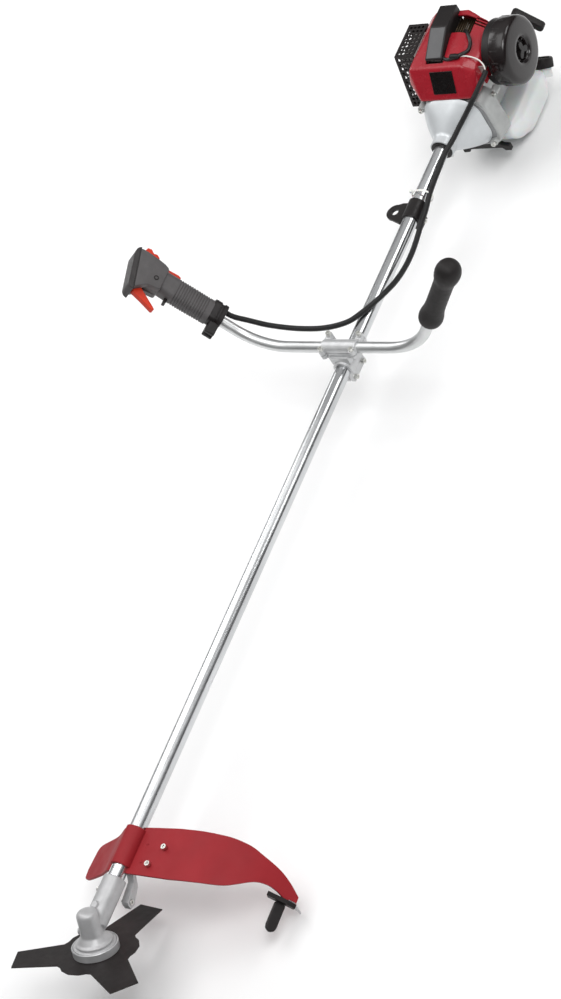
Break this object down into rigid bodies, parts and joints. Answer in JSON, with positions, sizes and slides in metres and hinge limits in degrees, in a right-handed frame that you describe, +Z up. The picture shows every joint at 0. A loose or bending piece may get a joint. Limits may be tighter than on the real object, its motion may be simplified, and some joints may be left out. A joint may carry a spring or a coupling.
{
  "type": "brush cutter",
  "caption": "Petrol brush cutter: straight alloy shaft, loop handlebar with throttle grip, red guard, three-tooth blade and a small two-stroke engine.",
  "frame": {"origin": "centre of the eye of the harness bracket, where the harness hook carries the machine", "axes": "+X along the shaft from the cutting head to the engine, +Z up out of the shaft in the handlebar's middle plane, +Y to the operator's right"},
  "size_m": [1.895, 0.6479, 0.393],
  "materials": {
    "tube_aluminium": "bright drawn tube",
    "cast_aluminium": "shot-blasted casting",
    "housing_silver": "silver paint on a casting",
    "machined_steel": "machined",
    "fastener_steel": "bright zinc plate",
    "dark_steel": "black oxide",
    "blade_black": "semi-gloss black paint",
    "knife_steel": "ground",
    "guard_red": "satin red plastic",
    "shroud_red": "glossy red plastic",
    "trigger_red": "orange-red plastic",
    "handle_grey": "fine-grained dark grey plastic",
    "black_plastic": "satin black plastic",
    "badge_black": "plain gloss black",
    "pulley_grey": "grey nylon",
    "grip_rubber": "soft black rubber",
    "conduit_black": "corrugated black sleeve",
    "bush_brown": "oil-filled nylon",
    "drum_steel": "turned",
    "shoe_lining": "sintered",
    "engine_aluminium": "die-cast",
    "plug_ceramic": "white glazed",
    "exhaust_steel": "heat-proof dark paint",
    "heat_guard_black": "black heat-proof paint",
    "brass": "zinc yellow",
    "clear_rubber": "translucent",
    "rope_white": "braided cord",
    "tank_white": "milky translucent plastic"
  },
  "bodies": {
    "frame": {"shaft_tube": "tube_aluminium", "shaft_bushes": "bush_brown", "gearcase": "cast_aluminium", "gearcase_bearings": "machined_steel", "guard": "guard_red", "guard_bracket": "cast_aluminium", "line_cutter": "knife_steel", "cutter_cover": "black_plastic", "handlebar": "tube_aluminium", "bar_clamp_cap": "cast_aluminium", "bar_clamp_base": "cast_aluminium", "cap_screws": "fastener_steel", "left_grip": "grip_rubber", "handle_body": "handle_grey", "handle_cover": "handle_grey", "handle_lid": "handle_grey", "trigger_spring": "fastener_steel", "handle_screws": "dark_steel", "throttle_conduit": "conduit_black", "harness_bracket": "black_plastic", "fan_housing": "housing_silver", "clutch_shoes": "shoe_lining", "flywheel": "engine_aluminium", "crankcase": "housing_silver", "crankshaft": "machined_steel", "connecting_rod": "engine_aluminium", "piston": "engine_aluminium", "cylinder": "engine_aluminium", "spark_plug": "plug_ceramic", "plug_cover": "black_plastic", "shroud": "shroud_red", "badge_plate": "badge_black", "muffler": "exhaust_steel", "muffler_guard": "heat_guard_black", "carburettor": "engine_aluminium", "filter_case": "black_plastic", "filter_cover": "black_plastic", "starter_housing": "black_plastic", "fuel_tank": "tank_white", "tank_stand": "black_plastic"},
    "drive_line": {"drive_shaft": "machined_steel", "pinion_gear": "machined_steel", "clutch_drum": "drum_steel"},
    "cutter": {"spindle": "machined_steel", "bevel_gear": "machined_steel", "blade_holder": "machined_steel", "blade": "blade_black", "blade_nut": "dark_steel"},
    "trigger": {"throttle_trigger": "trigger_red"},
    "throttle_lever": {"throttle_arm": "brass"},
    "lockout": {"lockout_lever": "trigger_red"},
    "switch": {"stop_switch": "trigger_red"},
    "idle_button": {"idle_lock_button": "black_plastic"},
    "choke": {"choke_lever": "black_plastic"},
    "primer": {"primer_bulb": "clear_rubber"},
    "knob": {"filter_knob": "black_plastic"},
    "tank_cap": {"fuel_cap": "black_plastic"},
    "pull": {"starter_handle": "black_plastic", "starter_rope": "rope_white"},
    "pulley": {"starter_pulley": "pulley_grey"}
  },
  "joints": [
    {"name": "blade_spin", "type": "hinge", "parent": "frame", "child": "cutter", "pos_m": [-1.358, -0.038, 0], "axis": [0.5299, 0, 0.848], "continuous": true},
    {"name": "drive_spin", "type": "hinge", "parent": "frame", "child": "drive_line", "pos_m": [-1.358, -0.038, 0], "axis": [1, 0, 0], "continuous": true},
    {"name": "trigger_pull", "type": "hinge", "parent": "frame", "child": "trigger", "pos_m": [-0.32115, 0.25755, 0.2132], "axis": [0.0269, -0.788, 0.6151], "range_deg": [0, 16.5], "stiffness_Nm_per_rad": 0.35, "springref_deg": -20.05},
    {"name": "throttle_turn", "type": "hinge", "parent": "frame", "child": "throttle_lever", "pos_m": [0.282, -0.114, 0.07], "axis": [0, 0, 1], "range_deg": [0, 49.5]},
    {"name": "lockout_press", "type": "hinge", "parent": "frame", "child": "lockout", "pos_m": [-0.28962, 0.24955, 0.20156], "axis": [-0.0269, 0.788, -0.6151], "range_deg": [0, 5], "stiffness_Nm_per_rad": 0.4, "springref_deg": -20.05},
    {"name": "stop_slide", "type": "slide", "parent": "frame", "child": "switch", "axis": [-0.0344, -0.6157, -0.7873], "range_m": [0, 0.007]},
    {"name": "idle_press", "type": "slide", "parent": "frame", "child": "idle_button", "axis": [0.999, 0, -0.0436], "range_m": [0, 0.005], "stiffness_N_per_m": 400, "springref_m": -0.003},
    {"name": "choke_turn", "type": "hinge", "parent": "frame", "child": "choke", "pos_m": [0.302, -0.114, 0.07], "axis": [0, 0, 1], "range_deg": [0, 60]},
    {"name": "primer_press", "type": "slide", "parent": "frame", "child": "primer", "axis": [0, 0, 1], "range_m": [0, 0.004], "stiffness_N_per_m": 600, "springref_m": -0.002},
    {"name": "knob_turn", "type": "hinge", "parent": "frame", "child": "knob", "pos_m": [0.309, -0.148, 0.058], "axis": [0, -1, 0], "range_deg": [0, 330]},
    {"name": "cap_turn", "type": "hinge", "parent": "frame", "child": "tank_cap", "pos_m": [0.412, -0.094, -0.102], "axis": [0.5736, 0, 0.8192], "range_deg": [0, 330]},
    {"name": "rope_pull", "type": "slide", "parent": "frame", "child": "pull", "axis": [1, 0, 0], "range_m": [0, 0.6], "stiffness_N_per_m": 12, "springref_m": -0.5, "deforming": ["starter_rope"]},
    {"name": "pulley_turn", "type": "hinge", "parent": "frame", "child": "pulley", "pos_m": [0.365, -0.038, 0], "axis": [1, 0, 0], "range_deg": [0, 1145.92]}
  ],
  "couplings": [
    {"joint": "drive_spin", "follows": "blade_spin", "ratio": -1.3333},
    {"joint": "throttle_turn", "follows": "trigger_pull", "ratio": 3},
    {"joint": "pulley_turn", "follows": "rope_pull", "rad_per_m": 33.333}
  ]
}
